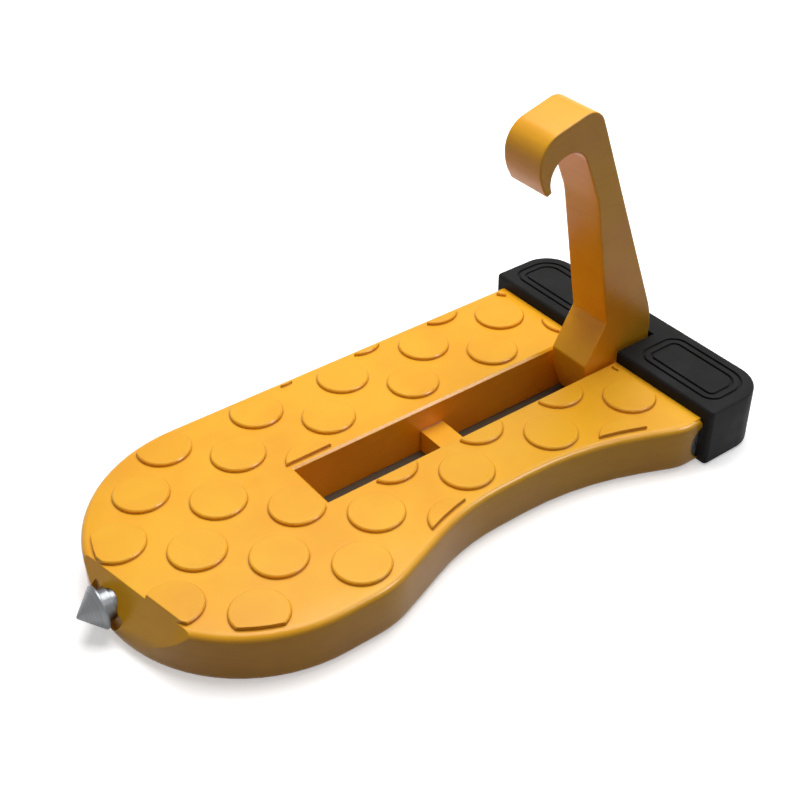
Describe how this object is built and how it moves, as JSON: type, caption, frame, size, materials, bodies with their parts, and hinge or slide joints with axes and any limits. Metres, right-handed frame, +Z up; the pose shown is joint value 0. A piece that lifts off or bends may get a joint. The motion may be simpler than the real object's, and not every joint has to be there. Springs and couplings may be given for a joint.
{
  "type": "car door latch step",
  "caption": "Foot-shaped cast step that hangs on a car's door latch: studded pedal with a slot, folding hook, rubber heel pad and steel breaker point.",
  "frame": {"origin": "on the plane of the sole, under the middle of the whole step's length and width", "axes": "+X from toe to heel, where the hook stands and the rubber pad meets the car; +Y across the pedal, away from its waist; +Z up from the sole"},
  "size_m": [0.1676, 0.0798, 0.0854],
  "materials": {
    "yellow_coated_alloy": "orange-yellow satin coat on cast aluminium alloy",
    "bright_steel": "turned bare steel",
    "nylon": "natural moulded nylon",
    "black_rubber": "matt black moulded rubber"
  },
  "bodies": {
    "step": {"pedal": "yellow_coated_alloy", "hinge_pin": "bright_steel", "near_friction_washer": "nylon", "far_friction_washer": "nylon", "heel_bumper": "black_rubber", "breaker_point": "bright_steel"},
    "hook": {"hook_arm": "yellow_coated_alloy"}
  },
  "joints": [
    {"name": "hook_fold", "type": "hinge", "parent": "step", "child": "hook", "pos_m": [0.06595, 0, 0.006], "axis": [0, -1, 0], "range_deg": [0, 76]}
  ]
}
